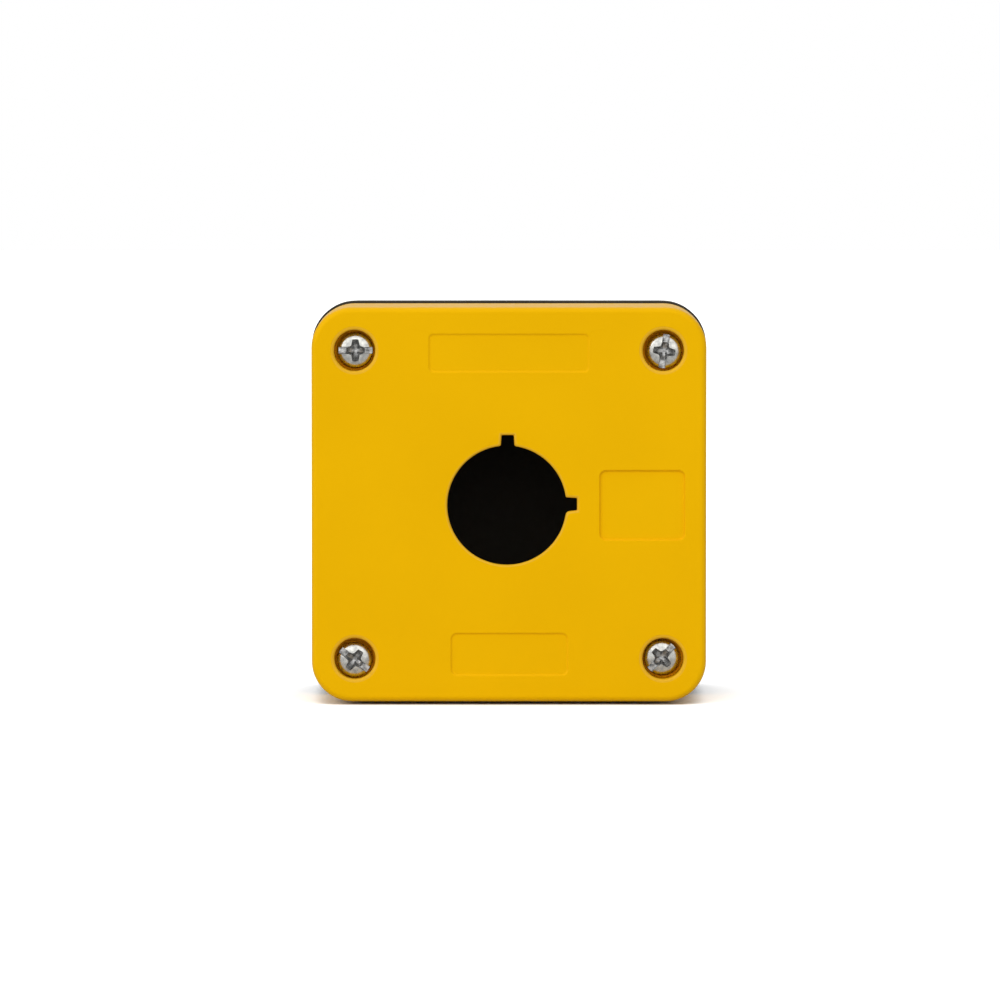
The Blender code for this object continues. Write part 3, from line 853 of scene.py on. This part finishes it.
def threaded_insert(name, x, z, material):
    """The brass insert: knurled bands outside, a thread inside and chamfered ends."""
    low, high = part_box(f"threaded_insert_{name}")
    start, stop, outer = low.y - FRONT_Y, high.y - FRONT_Y, (high.x - low.x) / 2
    middle = (start + stop) / 2
    steps = 2 * SCREW_STEPS

    def knurled(radius, depth):
        """A loop round the knurl, with its grooves cut back."""
        points = []
        for step, (px, pz) in enumerate(circle(1.0, steps)):
            reach = radius - (KNURL_DEPTH if step % KNURL_STEP == 0 else 0.0)
            points.append((px * reach, pz * reach))
        return skin.loop(points, depth, x, z)

    skin = Skin()
    loops = [skin.loop(circle(outer - INSERT_CHAMFER, steps), start, x, z)]
    groove = KNURL_GROOVE
    loops += [knurled(outer - 0.0001, start + 0.0003), knurled(outer, start + 0.0004)]
    loops.append(knurled(outer, middle - groove))
    for depth in (middle - groove / 2, middle + groove / 2):
        loops.append(skin.loop(circle(outer - KNURL_GROOVE_DEPTH, steps), depth, x, z))
    loops += [knurled(outer, middle + groove), knurled(outer, stop - 0.0006)]
    for radius in (outer - INSERT_CHAMFER, INSERT_BORE):
        loops.append(skin.loop(circle(radius, steps), stop, x, z))
    rings = round((stop - start) / THREAD_PITCH * RINGS_PER_TURN)
    for ring in range(rings):
        depth = stop - 0.0001 - (stop - start - 0.0004) * ring / (rings - 1)
        loops.append(skin.loop(threaded(depth, start, stop, INSERT_CREST, INSERT_BORE, steps), depth, x, z))
    loops.append(skin.loop(circle(INSERT_BORE + INSERT_MOUTH, steps), start, x, z))
    skin.chain(loops, closed=True)
    dress(skin.finish(f"insert_{name}"), (material,), "housing", "brass", f"threaded_insert_{name}")


# ---- Studio ----

def direction_share(tree, axis, start, end, low, high):
    """How much light a direction gets: low at a cosine of start to the axis, high at one of end."""
    nodes, links = tree.nodes, tree.links
    place = nodes.new("ShaderNodeTexCoord")
    towards = nodes.new("ShaderNodeVectorMath")
    towards.operation = "DOT_PRODUCT"
    towards.inputs[1].default_value = axis
    links.new(place.outputs["Generated"], towards.inputs[0])
    return remap(tree, towards.outputs["Value"], low, high, start, end)


def combined(tree, operation, first, second):
    """Two values put together by a sum or a product."""
    node = tree.nodes.new("ShaderNodeMath")
    node.operation = operation
    tree.links.new(first, node.inputs[0])
    tree.links.new(second, node.inputs[1])
    return node.outputs["Value"]


def studio_world():
    """The surround: a broad light in front, softer ones above and behind, and white where it is seen."""
    world = bpy.data.worlds.new("studio")
    world.use_nodes = True
    tree = world.node_tree
    nodes, links = tree.nodes, tree.links
    lit, plain = nodes["Background"], nodes.new("ShaderNodeBackground")
    for shade in (lit, plain):
        shade.inputs["Color"].default_value = (1.0, 1.0, 1.0, 1.0)
    above = direction_share(tree, (0.0, 0.0, 1.0), 0.0, 1.0, HORIZON_LIGHT, HORIZON_LIGHT + ZENITH_LIGHT)
    behind = direction_share(tree, (0.0, 1.0, 0.0), *BACKDROP_LOBE, 0.0, BACKDROP_LIGHT)
    ahead = direction_share(tree, Vector(FRONT_DIRECTION).normalized(), *FRONT_LOBE, 0.0, FRONT_LIGHT)
    whole = combined(tree, "ADD", combined(tree, "ADD", above, behind), ahead)
    links.new(whole, lit.inputs["Strength"])
    eye, choice = nodes.new("ShaderNodeLightPath"), nodes.new("ShaderNodeMixShader")
    links.new(eye.outputs["Is Camera Ray"], choice.inputs["Fac"])
    links.new(lit.outputs["Background"], choice.inputs[1])
    links.new(plain.outputs["Background"], choice.inputs[2])
    links.new(choice.outputs["Shader"], nodes["World Output"].inputs["Surface"])
    bpy.context.scene.world = world


def white_floor():
    """A matt floor, overexposed where it is seen by a painted glow that occlusion dims into a painted shadow
    near the box, and that sends a softer light back up.
    """
    bpy.ops.mesh.primitive_plane_add(size=FLOOR_SIZE, location=(0.0, 0.0, 0.0))
    floor = bpy.context.object
    floor.name = "floor"
    material, tree, shader = material_of("floor_white", (FLOOR_SEEN,) * 3, 0.8, level=0.0)
    eye = tree.nodes.new("ShaderNodeLightPath")
    shade = blend_colours(tree, eye.outputs["Is Camera Ray"], (FLOOR_BOUNCE,) * 3, (FLOOR_SEEN,) * 3)
    tree.links.new(shade, shader.inputs["Base Color"])
    shader.inputs["Emission Color"].default_value = (1.0, 1.0, 1.0, 1.0)
    # Painted glow seen by the camera, dimmed by occlusion into a painted shadow near the box.
    seen = remap(tree, eye.outputs["Is Camera Ray"], 0.0, FLOOR_GLOW, 0.0, 1.0)
    shadow = tree.nodes.new("ShaderNodeAmbientOcclusion")
    shadow.inputs["Distance"].default_value = SHADOW_REACH
    open_sky = remap(tree, shadow.outputs["AO"], 0.0, 1.0, *SHADOW_RANGE)
    tree.links.new(combined(tree, "MULTIPLY", seen, open_sky), shader.inputs["Emission Strength"])
    floor.data.materials.append(material)


def studio():
    """A white floor, the surround, a broad key light from the upper left and the camera."""
    scene = bpy.context.scene
    scene.view_settings.view_transform = "Standard"
    scene.view_settings.look = "None"
    studio_world()
    lamp = bpy.data.lights.new("key_light", "SUN")
    lamp.energy = KEY_STRENGTH
    lamp.angle = math.radians(KEY_SPREAD)
    key = bpy.data.objects.new("key_light", lamp)
    scene.collection.objects.link(key)
    key.location = KEY_DIRECTION
    key.rotation_euler = (-Vector(KEY_DIRECTION)).to_track_quat("-Z", "Y").to_euler()
    white_floor()
    camera = bpy.data.cameras.new("camera")
    camera.lens = CAMERA_LENS
    camera.sensor_width = SENSOR_WIDTH
    camera.clip_start = 0.01
    camera.clip_end = 50.0
    holder = bpy.data.objects.new("camera", camera)
    scene.collection.objects.link(holder)
    holder.location = (CAMERA_X, FRONT_Y - CAMERA_DISTANCE, CENTRE_Z + CAMERA_RISE)
    holder.rotation_euler = (math.radians(90 - CAMERA_PITCH), 0.0, math.radians(CAMERA_YAW))
    scene.camera = holder


def build():
    """Every material, every piece, and the studio round them."""
    # Both yellows paint shade, a deeper orange, into the hollows of the cover.
    yellow = moulded_plastic(
        "cover_plastic", (0.85, 0.465, 0.0), (0.82, 0.445, 0.0), 0.40, 0.50, 0.000010, 0.45,
        tint=(1.0, 0.6, 0.05), hollow_shade=(0.86, 0.29, 0.0),
    )
    # Painted sheen: a paler, bluer yellow with a whiter specular tint on the rims, standing in for a
    # highlight.
    rim_sheen = moulded_plastic(
        "cover_rims_painted_sheen", (0.80, 0.445, 0.013), (0.78, 0.43, 0.010), 0.42, 0.52, 0.000010, 0.40,
        tint=(1.0, 0.78, 0.45), hollow_shade=(0.78, 0.30, 0.01),
    )
    charcoal = moulded_plastic(
        "housing_plastic", (0.040, 0.034, 0.024), (0.030, 0.027, 0.020), 0.60, 0.72, 0.000014, 0.20,
    )
    black_rubber = rubber("black_rubber")
    zinc = plated_metal("zinc_plate", (0.72, 0.71, 0.66), (0.40, 0.40, 0.39), 0.18, 0.36, 0.000016)
    # Painted shade: the drive is mottled down to near black, standing in for the shadow in the slot and
    # cross.
    drive = plated_metal("zinc_drive_painted_shade", (0.70, 0.70, 0.69), (0.12, 0.12, 0.12), 0.22, 0.55, 0.000060)
    brass = plated_metal("brass", (0.78, 0.55, 0.24), (0.68, 0.46, 0.18), 0.22, 0.36, 0.000004)
    nylon = moulded_plastic("nylon", (0.74, 0.72, 0.64), (0.70, 0.68, 0.60), 0.38, 0.50, 0.000006)
    axes = screw_axes()
    front_cover(yellow, rim_sheen)
    rear_housing(charcoal, axes)
    cover_gasket(black_rubber)
    for name in FIXINGS:
        mounting_plug(name, black_rubber)
    for name, (x, z) in axes.items():
        cover_screw(name, x, z, zinc, drive)
        screw_seal(name, x, z, black_rubber)
        captive_washer(name, x, z, nylon)
        threaded_insert(name, x, z, brass)
    studio()


build()
